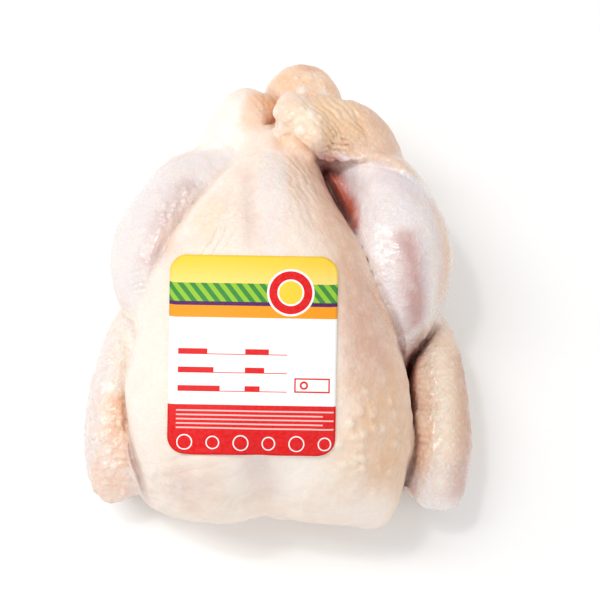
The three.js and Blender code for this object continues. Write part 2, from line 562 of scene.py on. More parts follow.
class Bench:
    """Adds nodes to one node tree and joins them.

    Args:
        tree: The node tree to work on.
    """

    def __init__(self, tree: bpy.types.NodeTree) -> None:
        """Keeps the tree."""
        self.tree = tree

    def add(self, kind: str, inputs: dict | None = None, **settings: object) -> bpy.types.Node:
        """Adds a node.

        Args:
            kind: The node's type name.
            inputs: For each socket's name or number, the value that it gets or the socket that feeds it.
            settings: The node's own properties.

        Returns:
            The node.
        """
        node = self.tree.nodes.new(kind)
        for name, value in settings.items():
            setattr(node, name, value)
        for key, value in (inputs or {}).items():
            self.feed(value, node.inputs[key])
        return node

    def feed(self, value: object, socket: bpy.types.NodeSocket) -> None:
        """Joins a socket to another, or sets its value."""
        if isinstance(value, bpy.types.NodeSocket):
            self.tree.links.new(value, socket)
        else:
            socket.default_value = value

    def maths(self, operation: str, *values: object, clamp: bool = False) -> bpy.types.NodeSocket:
        """The result of a Math node on some values or sockets."""
        inputs = dict(enumerate(values))
        return self.add("ShaderNodeMath", inputs, operation=operation, use_clamp=clamp).outputs[0]

    def times(self, a: object, b: object) -> bpy.types.NodeSocket:
        """The product of two values or sockets."""
        return self.maths("MULTIPLY", a, b)

    def mix(self, a: object, b: object, share: object, blend: str = "MIX") -> bpy.types.NodeSocket:
        """The colour part of the way from one colour to another."""
        inputs = {0: share, 6: a, 7: b}
        return self.add("ShaderNodeMix", inputs, data_type="RGBA", blend_type=blend).outputs[2]

    def span(self, value: object, low: float, high: float, to_low: float = 0.0,
             to_high: float = 1.0) -> bpy.types.NodeSocket:
        """A value mapped smoothly from one span to another, and held at its ends."""
        inputs = {"Value": value, "From Min": low, "From Max": high, "To Min": to_low, "To Max": to_high}
        return self.add("ShaderNodeMapRange", inputs, interpolation_type="SMOOTHSTEP").outputs[0]

    def attribute(self, name: str) -> bpy.types.NodeSocket:
        """A value that the mesh holds at each of its points."""
        return self.add("ShaderNodeAttribute", attribute_name=name).outputs["Fac"]

    def group(self, tree: bpy.types.NodeTree, inputs: dict) -> bpy.types.NodeSocket:
        """The first output of a node group that is placed with some inputs."""
        return self.add("ShaderNodeGroup", inputs, node_tree=tree).outputs[0]


class Groups:
    """The node groups that several materials or several places of one material share."""

    def __init__(self) -> None:
        """Builds each group once."""
        self.grain = self._grain()
        self.pores = self._pores()
        self.bar = self._bar()
        self.ring = self._ring()

    @staticmethod
    def _start(name: str, takes: tuple[str, ...], gives: str) -> tuple[Bench, dict, bpy.types.NodeSocket]:
        """Makes an empty group with its sockets.

        Args:
            name: The group's name.
            takes: The name of each input besides the place, all plain numbers.
            gives: The name of the output, a value.

        Returns:
            The bench to add nodes on, the input sockets by name, and the output's socket.
        """
        tree = bpy.data.node_groups.new(name, "ShaderNodeTree")
        tree.interface.new_socket("Vector", in_out="INPUT", socket_type="NodeSocketVector")
        for title in takes:
            tree.interface.new_socket(title, in_out="INPUT", socket_type="NodeSocketFloat")
        tree.interface.new_socket(gives, in_out="OUTPUT", socket_type="NodeSocketFloat")
        bench = Bench(tree)
        source = bench.add("NodeGroupInput")
        sink = bench.add("NodeGroupOutput")
        return bench, source.outputs, sink.inputs[0]

    def mottling(self, bench: Bench, place: object, scale: float,
                 detail: float = 2.0) -> bpy.types.NodeSocket:
        """Puts the mottling in a material, at a number of lumps for each unit of the place."""
        return bench.group(self.grain, {"Vector": place, "Scale": scale, "Detail": detail})

    def _grain(self) -> bpy.types.NodeTree:
        """Uneven mottling of a given size, as a mask from 0 to 1."""
        bench, given, result = self._start("grain", ("Scale", "Detail"), "Mask")
        inputs = {"Vector": given["Vector"], "Scale": given["Scale"], "Detail": given["Detail"]}
        cloud = bench.add("ShaderNodeTexNoise", inputs)
        bench.feed(bench.span(cloud.outputs["Fac"], 0.3, 0.7), result)
        return bench.tree

    def _pores(self) -> bpy.types.NodeTree:
        """Small round bumps at an even spacing, as a height from 0 to 1."""
        bench, given, result = self._start("pores", ("Scale",), "Height")
        inputs = {"Vector": given["Vector"], "Scale": given["Scale"], "Smoothness": 0.35}
        cells = bench.add("ShaderNodeTexVoronoi", inputs, feature="SMOOTH_F1")
        bench.feed(bench.span(cells.outputs["Distance"], 0.62, 0.05), result)
        return bench.tree

    def _bar(self) -> bpy.types.NodeTree:
        """A rectangle, as a mask that is 1 inside."""
        takes = ("Middle X", "Middle Y", "Half Width", "Half Height")
        bench, given, result = self._start("bar", takes, "Mask")
        at = bench.add("ShaderNodeSeparateXYZ", {0: given["Vector"]}).outputs
        masks = []
        for axis, middle, half in ((0, "Middle X", "Half Width"), (1, "Middle Y", "Half Height")):
            away = bench.maths("ABSOLUTE", bench.maths("SUBTRACT", at[axis], given[middle]))
            masks.append(bench.maths("LESS_THAN", away, given[half]))
        bench.feed(bench.times(*masks), result)
        return bench.tree

    def _ring(self) -> bpy.types.NodeTree:
        """A ring, or a disc where its half width is its radius, as a mask that is 1 inside."""
        takes = ("Middle X", "Middle Y", "Radius", "Half Width")
        bench, given, result = self._start("ring", takes, "Mask")
        at = bench.add("ShaderNodeSeparateXYZ", {0: given["Vector"]}).outputs
        squares = []
        for axis, middle in ((0, "Middle X"), (1, "Middle Y")):
            away = bench.maths("SUBTRACT", at[axis], given[middle])
            squares.append(bench.times(away, away))
        far = bench.maths("SQRT", bench.maths("ADD", *squares))
        off = bench.maths("ABSOLUTE", bench.maths("SUBTRACT", far, given["Radius"]))
        bench.feed(bench.maths("LESS_THAN", off, given["Half Width"]), result)
        return bench.tree


def new_material(name: str) -> tuple[bpy.types.Material, Bench, bpy.types.Node]:
    """Makes a material with one shader.

    Args:
        name: The material's name.

    Returns:
        The material, its bench and its Principled BSDF.
    """
    material = bpy.data.materials.new(name)
    material.use_nodes = True
    bench = Bench(material.node_tree)
    return material, bench, material.node_tree.nodes["Principled BSDF"]


@dataclass(frozen=True)
class RawSkin:
    """Moist raw skin: cream, with meat, fat and gristle showing through, and with some light and shade
    painted in, where the mesh says so.
    """

    cream: Colour = linear(250, 236, 224)
    blotch: Colour = linear(245, 220, 202)
    freckle: Colour = linear(236, 200, 172)
    furrow_shade: Colour = linear(222, 168, 128)
    blotch_size: float = 0.013
    blotch_share: float = 0.45
    blotch_break: tuple[float, float] = (0.82, 1.12)
    freckle_size: float = 0.0032
    freckle_share: tuple[float, float] = (0.05, 0.22)
    pore_size: float = 0.0025
    pore_depth: float = 0.0004
    pore_ring_share: float = 0.12
    pore_tip_share: float = 0.1
    bump_tip_share: float = 0.5
    furrow_shade_share: float = 0.62
    grain_size: float = 0.0014
    grain_depth: float = 0.0002
    roughness: tuple[float, float] = (0.5, 0.24)
    coat: tuple[float, float] = (0.15, 0.7)
    coat_roughness: float = 0.14
    refraction: float = 1.42
    scatter: float = 0.2
    scatter_radius: Point = (1.0, 0.4, 0.25)
    scatter_scale: float = 0.002

    def material(self, groups: Groups) -> bpy.types.Material:
        """Builds the material, which reads the weights of the tints, the bumps and the wetness."""
        material, bench, shader = new_material("raw_skin")
        place = bench.add("ShaderNodeTexCoord").outputs["Object"]
        blotches = groups.mottling(bench, place, 1 / self.blotch_size, 3.0)
        freckles = groups.mottling(bench, place, 1 / self.freckle_size)
        pores = bench.group(groups.pores, {"Vector": place, "Scale": 1 / self.pore_size})
        fine = groups.mottling(bench, place, 1 / self.grain_size)
        bumpy = bench.attribute("bumpy")
        wet = bench.attribute("wet")

        colour = self._colour(bench, blotches, freckles, pores, bumpy)
        bench.feed(colour, shader.inputs["Base Color"])
        damp = bench.times(wet, bench.span(fine, 0.0, 1.0, 1.0, 0.8))
        bench.feed(bench.span(damp, 0.0, 1.0, *self.roughness), shader.inputs["Roughness"])
        bench.feed(bench.span(damp, 0.0, 1.0, *self.coat), shader.inputs["Coat Weight"])
        shader.inputs["Coat Roughness"].default_value = self.coat_roughness
        shader.inputs["IOR"].default_value = self.refraction
        shader.inputs["Subsurface Weight"].default_value = self.scatter
        shader.inputs["Subsurface Radius"].default_value = self.scatter_radius
        shader.inputs["Subsurface Scale"].default_value = self.scatter_scale

        stand = bench.times(pores, bench.times(bumpy, self.pore_depth))
        depth = bench.span(wet, 0.2, 0.8, 0.4 * self.grain_depth, self.grain_depth)
        height = bench.maths("ADD", stand, bench.times(fine, depth))
        bump = bench.add("ShaderNodeBump", {"Height": height, "Strength": 1.0, "Distance": 1.0})
        bench.feed(bump.outputs["Normal"], shader.inputs["Normal"])
        return material

    def _colour(self, bench: Bench, blotches: object, freckles: object, pores: object,
                bumpy: object) -> bpy.types.NodeSocket:
        """Mixes the skin's colour from its cream, the tints, the marks on goosebumps, and painted shade in
        the wrinkles' valleys.

        Args:
            bench: The material's bench.
            blotches, freckles: The coarse and the fine mottling.
            pores: The height of the goosebumps.
            bumpy: How much of them there is.

        Returns:
            The colour.
        """
        colour = bench.mix(self.cream, self.blotch, bench.times(blotches, self.blotch_share))
        for tint in Tint:
            weight = bench.attribute(tint.name.lower())
            broken = bench.span(blotches, 0.0, 1.0, *self.blotch_break)
            colour = bench.mix(colour, tint.value, bench.maths("MULTIPLY", weight, broken, clamp=True))
        spots = bench.times(freckles, bench.span(bumpy, 0.0, 1.0, *self.freckle_share))
        colour = bench.mix(colour, self.freckle, spots, blend="MULTIPLY")
        rings = bench.times(bench.span(pores, 0.3, 0.0), bench.times(bumpy, self.pore_ring_share))
        colour = bench.mix(colour, self.freckle, rings, blend="MULTIPLY")
        # Painted shade: the wrinkles' valleys are tinted a darker tan by their depth.
        furrow_shading = bench.span(bench.attribute("furrow_shade"), 0.05, 0.9, 0.0, self.furrow_shade_share)
        colour = bench.mix(colour, self.furrow_shade, furrow_shading)
        pore_tips = bench.times(bench.times(pores, bumpy), self.pore_tip_share)
        bump_tips = bench.span(bench.attribute("tip"), 0.2, 2.0, 0.0, self.bump_tip_share)
        return bench.mix(colour, Tint.GRISTLE.value, bench.maths("ADD", pore_tips, bump_tips))


@dataclass
class Press:
    """Prints one shape over another, placed in millimetres on a sheet."""

    bench: Bench
    groups: Groups
    place: bpy.types.NodeSocket
    colour: object

    def bar(self, box: tuple[float, ...], ink: object) -> None:
        """Prints a rectangle, given as its left, right, bottom and top."""
        left, right, bottom, top = box
        inputs = {"Vector": self.place, "Middle X": (left + right) / 2, "Middle Y": (bottom + top) / 2}
        inputs |= {"Half Width": (right - left) / 2, "Half Height": (top - bottom) / 2}
        self.colour = self.bench.mix(self.colour, ink, self.bench.group(self.groups.bar, inputs))

    def ring(self, middle: tuple[float, float], radius: float, half_width: float, ink: object) -> None:
        """Prints a ring round a middle, or a disc where its half width is its radius."""
        inputs = {"Vector": self.place, "Middle X": middle[0], "Middle Y": middle[1]}
        inputs |= {"Radius": radius, "Half Width": half_width}
        self.colour = self.bench.mix(self.colour, ink, self.bench.group(self.groups.ring, inputs))


@dataclass(frozen=True)
class PrintedPaper:
    """Printed paper: plain fields, rules, bars and rings, placed in millimetres on the label.

    X runs to the right and Y up from the label's lower left corner.
    """

    width: float
    length: float
    white: Colour = linear(252, 252, 250)
    yellow: Colour = linear(255, 212, 60)
    amber: Colour = linear(255, 226, 132)
    leaf: Colour = linear(150, 200, 50)
    grass: Colour = linear(58, 140, 60)
    plum: Colour = linear(86, 26, 96)
    orange: Colour = linear(246, 158, 20)
    red: Colour = linear(226, 10, 14)
    blush: Colour = linear(246, 196, 192)
    footer: float = 23.5
    header: float = 64.0
    wear: float = 0.02
    roughness: tuple[float, float] = (0.5, 0.58)
    gloss: float = 0.25

    def material(self, groups: Groups) -> bpy.types.Material:
        """Builds the material, which reads the label's own flat map."""
        material, bench, shader = new_material("printed_paper")
        flat = bench.add("ShaderNodeUVMap", uv_map="flat").outputs["UV"]
        size = (self.width, self.length, 0)
        at = bench.add("ShaderNodeVectorMath", {0: flat, 1: size}, operation="MULTIPLY")
        press = Press(bench, groups, at.outputs["Vector"], self.white)
        grain = groups.mottling(bench, press.place, 0.6)
        self._print_header(press)
        self._print_form(press)
        self._print_footer(press)
        worn = bench.mix(press.colour, self.white, bench.times(grain, self.wear))
        bench.feed(worn, shader.inputs["Base Color"])
        bench.feed(bench.span(grain, 0.0, 1.0, *self.roughness), shader.inputs["Roughness"])
        shader.inputs["Specular IOR Level"].default_value = self.gloss
        return material

    def _print_header(self, press: Press) -> None:
        """The top fields: yellow, slanted green stripes, and plum and orange bands."""
        bench, foot = press.bench, self.header
        x, y, _ = bench.add("ShaderNodeSeparateXYZ", {0: press.place}).outputs
        sky = bench.mix(self.amber, self.yellow, bench.span(y, 76.0, self.length))
        press.colour = bench.mix(self.white, sky, bench.maths("GREATER_THAN", y, foot + 6))
        slant = bench.maths("ADD", x, bench.times(y, 0.8))
        stripe = bench.maths("GREATER_THAN", bench.maths("FRACT", bench.maths("DIVIDE", slant, 5.4)), 0.5)
        green = bench.mix(self.leaf, self.grass, stripe)
        for bottom, top, ink in ((7.4, 16, green), (5.6, 7.4, self.plum), (0, 5.6, self.orange)):
            press.bar((0, self.width, foot + bottom, foot + top), ink)
        for radius, ink in ((11.0, self.white), (10.0, self.red), (6.2, self.white), (5.4, self.yellow)):
            press.ring((0.72 * self.width, foot + 12.0), radius / 2, radius / 2, ink)

    def _print_form(self, press: Press) -> None:
        """The white middle: red tags with rules under them, and an empty frame."""
        for row in range(3):
            base = 29.6 + 8.6 * row
            press.bar((4.5, 55.0, base, base + 0.4), self.red)
            for left, right in ((4.5, 24.0 - 3 * row), (35.5, 42.5 + 2 * row)):
                press.bar((left, right, base, base + 2.7), self.red)
        press.bar((58.5, 75.0, 29.6, 36.4), self.red)
        press.bar((59.2, 74.3, 30.3, 35.7), self.white)
        press.ring((63.0, 33.0), 1.5, 0.45, self.red)

    def _print_footer(self, press: Press) -> None:
        """The red foot, with thin pale bars and a row of plain rings."""
        press.bar((0, self.width, 0, self.footer), self.red)
        for row in range(5):
            press.bar((4.0, 77.0 - 5 * (row % 2), 20.4 - 2.0 * row, 21.1 - 2.0 * row), self.blush)
        for i in range(6):
            press.ring((8.0 + 13.0 * i, 6.0), 2.9 if i % 2 else 3.4, 0.28, self.white)


@dataclass(frozen=True)
class PaleFloor:
    """A plain pale studio floor."""

    light: Colour = linear(255, 255, 255)
    dark: Colour = linear(253, 253, 253)

    def material(self, groups: Groups) -> bpy.types.Material:
        """Builds the material."""
        material, bench, shader = new_material("pale_floor")
        place = bench.add("ShaderNodeTexCoord").outputs["Object"]
        grain = groups.mottling(bench, place, 3.0)
        bench.feed(bench.mix(self.light, self.dark, grain), shader.inputs["Base Color"])
        shader.inputs["Roughness"].default_value = 0.8
        return material


@dataclass
class Bird:
    """The whole bird: its masses of flesh, the relief of its skin and what colours it."""

    voxel: float = 2.42
    neck_end: float = -116.0
    keel_tip: float = 88.0
    crown: float = 105.0
    breast_half_width: float = 72.0
    breast_mid_x: float = -3.0
    ankle_height: float = 78.0
    tail_tip: float = 134.0
    groin: Pair = Pair(22.0, 36.0)
    knee_reach: Pair = Pair(88.0, 93.0)
    wing_reach: Pair = Pair(83.0, 84.0)
    shoulder: Pair = Pair(80.0, 85.0)
    wing_shift: Pair = Pair(4.0, 0.0)
    elbow: Pair = Pair(-101.0, -107.0)
    smoothings: int = 3
    label_middle: Patch = Patch((-10, -52, 98), (30, 36, 30), soft=0.02)
    under_label: Patch = Patch((-12, -48.5, 98), (44, 50, 30), 0.85, soft=0.12)
    tint_drift: float = 4.5
    line_drift: float = 0.8

    def breast(self) -> Breast:
        """The breast's plump mass."""
        w, x, top = self.breast_half_width, self.breast_mid_x, self.crown
        return Breast((
            (x - 3, self.neck_end, 30, w, 26),
            (x - 1, -82, 44, w, 53),
            (x - 1, -48, 52, w - 1, top - 52),
            (x - 4, -14, 54, w - 9, top - 54),
            (x - 3, 20, 54, w - 18, top - 56),
            (x + 1, 54, 56, w - 33, top - 62),
            (x + 8, self.keel_tip, 64, w - 42, 22),
        ), fullness=(5.6, 2.6), square=2.25, mid_x=x, neck_end=self.neck_end, keel_tip=self.keel_tip)

    def torso(self) -> Mass:
        """The back, ribs and rump, which the other masses lie on."""
        return Mass((
            (-3, self.neck_end + 8, 28, 52, 26),
            (-3, -60, 34, 64, 38),
            (-1, 5, 36, 60, 39),
            (2, 60, 38, 46, 36),
            (8, 108, 44, 24, 20),
        ), fullness=(3, 2.8))

    def thigh(self, side: Side) -> Mass:
        """The broad thigh from the groin to the flank, with the knee's bulge outside."""
        s, groin, knee = side.value, self.groin.on(side), self.knee_reach.on(side) - 30
        return Mass((
            (s * groin, 79, 58, 15, 19),
            (s * ((groin + knee) / 2 + 6), 57, 54, 23, 31),
            (s * knee, 20, 48, 30, 38),
            (s * (knee - 2), -14, 44, 22, 33),
            (s * (knee - 4), -38, 40, 12, 20),
        ), fullness=(2.4, 2.3))

    def drumsticks(self) -> list[Mass]:
        """The right drumstick, which crosses over, and the left one, tucked under the thigh's bulge."""
        ankle = self.ankle_height
        over = Mass(((66, 26, 42, 14, 20), (55, 60, 50, 18, 22), (44, 82, 60, 20, 20),
                     (25, 88, 70, 20, 17), (7, 92, ankle, 14, 14)), fullness=(2.4, 3.2))
        under = Mass(((-46, 30, 38, 16, 18), (-36, 58, 43, 19, 20), (-27, 79, 51, 19, 20),
                      (-19, 96, 59, 18, 17), (-8, 112, ankle - 13, 17, 14)), fullness=(2.4, 3))
        return [over, under]

    def ankle_knob(self) -> list[Mass]:
        """The knob of cartilage on the upper side of the right ankle: two condyles side by side."""
        x, y, z = 13, 85, self.ankle_height + 3
        return [Mass((
            (x + 5 * s, y - 5 * s - 11, z, 10, 10),
            (x + 5 * s, y - 5 * s + 11, z, 10, 10),
        )) for s in (-1, 1)]

    def wing(self, side: Side) -> list[Mass]:
        """The folded wing: forearm outside, upper arm inside it, and the tip folded back under both."""
        s, x, y = side.value, self.wing_reach.on(side), self.wing_shift.on(side)
        shoulder, elbow = self.shoulder.on(side), self.elbow.on(side)
        forearm = ((s * shoulder, y - 4, 29, 12, 12), (s * (x + shoulder) / 2, y - 40, 30, 14, 17),
                   (s * x, y - 74, 28, 16, 20), (s * (x - 6), elbow, 24, 18, 18))
        upper_arm = ((s * (x - 36), y - 96, 32, 22, 26), (s * (x - 22), y - 54, 27, 22, 23),
                     (s * (x - 6), y - 10, 22, 14, 15))
        tip = ((s * (x - 6), y - 104, 15, 13, 11), (s * (x + 1), y - 70, 13, 14, 10),
               (s * (x + 2), y - 30, 13, 10, 7))
        return [Mass(forearm, fullness=(2.6, 4)), Mass(upper_arm), Mass(tip)]

    def tail(self) -> Mass:
        """The tail, a short fleshy wedge behind the ankles."""
        return Mass(((8, 84, 46, 26, 22), (13, 108, 52, 25, 17), (16, self.tail_tip, 59, 19, 12)),
                    fullness=(2.4, 2.6))

    def masses(self) -> list[Mass]:
        """Every mass of flesh."""
        pairs = [mass for side in Side for mass in (self.thigh(side), *self.wing(side))]
        return [self.breast(), self.torso(), self.tail(), *self.drumsticks(), *self.ankle_knob(), *pairs]

    def reliefs(self) -> list[Relief]:
        """What raises and sinks the skin."""
        shank = Patch((30, 84, 82), (20, 17, 16), turn=-45)
        flap_edge = Patch((27, 75, 79), (15, 7, 10), turn=-14)
        flap_hem = Patch((33, 72, 77), (21, 6, 10), turn=-8)
        knob = Patch((9, 82, 88), (14, 13, 13), turn=-40)
        follicles = Stroke(((-36, 57, 78), (-44, 46, 82), (-51, 36, 85), (-57, 26, 86), (-60, 14, 86)), 6.5)
        return [
            Unevenness(34, 1.1, 0.0),
            Unevenness(12, 0.65, 3.0),
            Unevenness(5.5, 0.32, 7.0),
            Unevenness(3.4, 0.16, 11.0),
            Wrinkles(shank, -48, 2.9, 1.2, wander=1.0, seed=1.0),
            Wrinkles(flap_edge, -68, 3.0, 1.6, wander=1.3, seed=2.0),
            Wrinkles(flap_hem, -24, 2.7, 1.2, wander=1.5, seed=16.0),
            Bumps(knob, 8.4, 2.8),
            Bumps(knob, 4.2, 0.9),
            Wrinkles(Patch((11, 44, 92), (8, 34, 18), turn=8), -58, 3.4, 0.9, wander=0.9, seed=3.0),
            Wrinkles(Patch((-10, 99, 72), (9, 10, 10)), -56, 2.8, 0.9, wander=0.9, seed=4.0),
            Wrinkles(Patch((-67, -4, 79), (8, 14, 12)), 5, 3.4, 0.7, seed=5.0),
            Wrinkles(Patch((-28, 14, 98), (12, 24, 14), turn=-20), 62, 4.6, 0.9, wander=0.9, seed=8.0),
            Wrinkles(Patch((38, 8, 90), (14, 44, 18)), -76, 5.2, 0.4, wander=1.0, seed=9.0),
            Wrinkles(Patch((0, -112, 52), (64, 10, 22)), 82, 6.0, 0.4, wander=1.3, seed=6.0),
            Wrinkles(Patch((-30, -98, 84), (34, 14, 20), turn=20), 24, 9.0, 0.8, wander=0.8, seed=14.0),
            Wrinkles(Patch((28, -98, 84), (26, 14, 20), turn=-20), -20, 8.0, 0.5, wander=1.2, seed=15.0),
            Wrinkles(Stroke(((74, -44, 45), (74, -62, 46), (73, -78, 45), (70, -92, 40)), 4.5),
                     -8, 3.7, 1.0, seed=10.0),
            Wrinkles(Stroke(((-78, -60, 48), (-77, -78, 47), (-73, -92, 43)), 5.5), 6, 3.9, 0.8, seed=12.0),
            Bumps(follicles, 4.0, 1.6),
            Bumps(Stroke(((-61, 12, 86), (-65, 2, 83), (-68, -10, 77)), 6), 3.6, 0.8),
            Bumps(Patch((-86, -56, 40), (22, 50, 28)), 3.8, 0.7),
            Bumps(Patch((-82, -88, 36), (22, 20, 26)), 4.8, 1.3),
            Bumps(Patch((86, -56, 40), (20, 52, 28)), 3.7, 0.7),
            Bumps(Patch((46, -86, 78), (22, 28, 30)), 6.4, 1.6),
            Bumps(Patch((46, -76, 82), (22, 34, 30)), 3.8, 0.45),
            Bumps(Patch((40, -8, 88), (16, 44, 24), 0.6), 3.8, 0.5),
            Bumps(Patch((-58, -104, 60), (20, 14, 26)), 4.6, 0.9),
            Bumps(Patch((58, -2, 82), (9, 26, 12)), 3.4, 0.5),
            Bumps(Patch((16, 112, 68), (20, 14, 16)), 5.6, 1.2),
            Bumps(Patch((-31, 12, 98), (8, 13, 12)), 4.8, 1.0),
            Fold(Stroke(((-16, 56, 93), (-13, 30, 99), (-11, 0, 104)), 2.6), -1.1),
            Fold(Stroke(((14, 60, 90), (17, 34, 96), (20, 6, 102)), 3.0), -0.7),
            Fold(Stroke(((-6, 96, 70), (-6, 88, 73), (-5, 79, 77), (-2, 66, 87)), 4.5), 3.2),
            Fold(Stroke(((-18, 82, 74), (-24, 70, 78), (-36, 48, 86), (-47, 27, 88), (-56, 8, 86)), 3.6),
                 1.3),
            Flap(((11, 72), (19, 69), (26, 68), (34, 67.5), (42, 66.5), (50, 64), (58, 60), (66, 55),
                  (74, 49)), 3.6, 7),
            Fold(Stroke(((-83, -5, 40), (-77, -12, 52), (-72, -20, 62), (-71, -26, 62)), 1.5), 1.3),
            Fold(Stroke(((-66, -12, 72), (-68, -17, 69), (-70, -22, 65)), 1.4), 1.2),
            Fold(Stroke(((26, 102, 80), (39, 90, 82), (50, 75, 78)), 2.0), -1.3),
            Fold(Stroke(((-14, -84, 96), (-10, -95, 86), (-5, -106, 73), (-4, -113, 58)), 7), -2.6),
            Fold(Stroke(((-44, -88, 98), (-28, -98, 88), (-12, -92, 92)), 5), 1.1),
            Fold(Stroke(((-77, -66, 48), (-75, -78, 46), (-72.5, -90, 44), (-70, -102, 40)), 3.2), -2.6),
            Fold(Stroke(((62, -24, 66), (66, -34, 60), (68, -44, 55), (69, -54, 52), (70, -66, 50)), 9),
                 -2.4),
        ]

    def gaps(self) -> dict[str, Slot]:
        """The gaps where two masses meet, by what lies beside them. Each also paints shade into its crease.
        """
        return {
            "right thigh": Slot(((21, 68, 2, 1.5, 0.5), (25, 64, 7, 1.7, 0.9), (29, 56, 9, 1.8, 0.9),
                                 (33, 47, 9, 1.8, 0.75), (36, 38, 7, 1.6, 0.6), (39, 28, 5, 1.4, 0.4),
                                 (42, 20, 3, 1.3, 0.15), (46, 8, 2.5, 1.2, 0.05), (50, -4, 2.5, 1.2, 0.05),
                                 (55, -14, 3, 1.3, 0.1), (61, -26, 4, 1.4, 0.25), (66, -36, 8, 1.6, 0.8)),
                                floor=40, ceiling=76),
            "right wing": Slot(((83, -15, 2, 1.5, 0.3), (77, -23, 6, 1.6, 0.7), (70, -33, 12, 1.9, 1),
                                (67, -44, 14, 2.1, 1), (68, -56, 12, 1.7, 0.9), (69, -66, 8, 1.3, 0.6),
                                (70, -76, 5, 1.3, 0.35), (68.5, -86, 6, 1.3, 0.35), (65, -96, 8, 1.4, 0.35),
                                (61, -104, 7, 1.6, 0.1)), ceiling=47),
            "right knee": Slot(((66, -36, 6, 1.4, 0.6), (70, -31, 5, 1.4, 0.5), (75, -24, 4, 1.4, 0.3)),
                               floor=30),
            "left wing": Slot(((-76, -28, 1, 2, 0), (-77, -42, 2.5, 1.8, 0), (-76, -56, 5, 1.7, 0.05),
                               (-74.5, -67, 7, 1.7, 0.1), (-72.5, -77, 9, 1.7, 0.2),
                               (-69.5, -88, 10, 1.7, 0.3), (-66, -98, 10, 1.8, 0.3),
                               (-64, -106, 6, 1.8, 0.2))),
            "ankles": Slot(((4, 104, 3, 1.5, 0.1), (0, 99, 6, 1.5, 0.2), (-3, 95, 6, 1.4, 0.2),
                            (-7, 91, 3, 1.3, 0.05)), floor=50),
            "tail": Slot(((-9, 120, 2, 1.6, 0.1), (-3, 112, 4, 1.6, 0.2), (2, 105, 4, 1.6, 0.2),
                          (10, 107, 4, 1.6, 0.1), (19, 107, 4, 1.6, 0.1), (28, 106, 3, 1.6, 0.1),
                          (36, 103, 2, 1.6, 0)), floor=45),
            "flap": Slot(((21, 66.6, 2, 1.5, 0.6), (27, 65.4, 2.5, 2.0, 0.95), (34, 65.2, 2, 1.3, 0.3),
                          (41, 64.8, 1.5, 1.1, 0), (49, 62.3, 1.5, 1.1, 0), (57, 58.3, 1.5, 1.1, 0),
                          (65, 53.6, 1, 1.1, 0), (72, 48.5, 0.5, 1.1, 0)), floor=45, ceiling=75),
            "left thigh": Slot(((-22, 73, 1, 1.8, 0), (-28, 59, 2, 1.8, 0), (-37, 44, 2.5, 1.8, 0),
                                (-47, 29, 3, 1.7, 0), (-57, 10, 3, 1.7, 0), (-63, -4, 2, 1.7, 0),
                                (-67, -14, 1, 1.7, 0)), floor=45),
            "left flank": Slot(((-32, 76, 1.5, 1.6, 0), (-44, 72, 2, 1.6, 0), (-56, 65, 2, 1.6, 0),
                                (-66, 58, 1, 1.6, 0)), floor=30),
        }

    def smooth_zones(self) -> list[tuple[Region, int]]:
        """Where the skin bridges the creases between masses, with how often it is smoothed."""
        return [
            (Patch((-30, 62, 72), (26, 40, 26)), 14),
            (Patch((-74, -15, 55), (18, 26, 30)), 10),
            (Patch((-79, -86, 44), (8, 24, 16)), 10),
            (Patch((0, 60, 10), (95, 90, 36)), 10),
            (Patch((0, -70, 8), (95, 60, 26)), 8),
            (Patch((11, 84, 86), (20, 16, 14)), 5),
            (Patch((13, 104, 58), (40, 24, 24)), 4),
        ]

    def shown_zones(self) -> list[Region]:
        """All of the skin but its lowest part, which hardly shows."""
        return [Patch((0, 4, 140), (400, 400, 118), soft=0.02)]

    def fine_zones(self) -> list[Region]:
        """Where the skin's relief is finer still."""
        return [
            Patch((20, 84, 84), (28, 20, 18), turn=-20, soft=0.1),
            Patch((35, 44, 72), (8, 30, 24), turn=22, soft=0.1),
            Patch((71, -58, 50), (7, 52, 26), soft=0.1),
            Patch((-52, 32, 82), (9, 34, 12), turn=30, soft=0.1),
            Patch((-74, -16, 62), (12, 14, 16), soft=0.1),
        ]

    def fields(self) -> dict[str, tuple[tuple[float, float], ...]]:
        """The borders of the skin's plain fields in plan, by what they cover."""
        return {
            "right thigh": ((22, 67), (26, 63), (29, 56), (33, 47), (36, 38), (39, 27), (42, 20), (46, 8),
                            (50, -4), (55, -14), (61, -26), (66, -34), (70, -32), (74, -26), (80, -17),
                            (92, -14), (110, 0), (106, 30), (92, 46), (82, 51), (72, 53.8), (64, 56.2),
                            (57, 59.8), (48, 63.8), (38, 66.4), (30, 67)),
            "left ankle": ((-20, 88), (-20, 98), (-15, 108), (-8, 116), (0, 114), (5, 104), (0, 96),
                           (-4, 90), (-10, 87)),
            "groin": ((24, 66), (28, 67), (33, 65), (37, 57), (40, 47), (42, 37), (42, 27), (39, 27),
                      (36, 38), (33, 47), (29, 56)),
            "left thigh": ((-22, 73), (-26, 63), (-31, 53), (-37, 44), (-43, 36), (-47, 29), (-52, 21),
                           (-57, 10), (-62, -2), (-66, -12), (-74, -16), (-84, -10), (-110, 0),
                           (-110, 50), (-80, 76), (-62, 68), (-50, 71), (-40, 74), (-30, 76)),
            "right breast": ((14, 70), (22, 66), (29, 56), (33, 47), (39, 27), (46, 8), (55, -14),
                             (68, -37), (69, -56), (70, -76), (67, -94), (58, -106), (46, -105),
                             (38, -92), (34, -40), (26, 0), (16, 36)),
            "right drumstick": ((24, 67), (38, 66.6), (48, 64.4), (57, 60.5), (64, 57), (72, 54.5),
                                (82, 56), (80, 90), (50, 112), (26, 108), (14, 100), (18, 86)),
        }

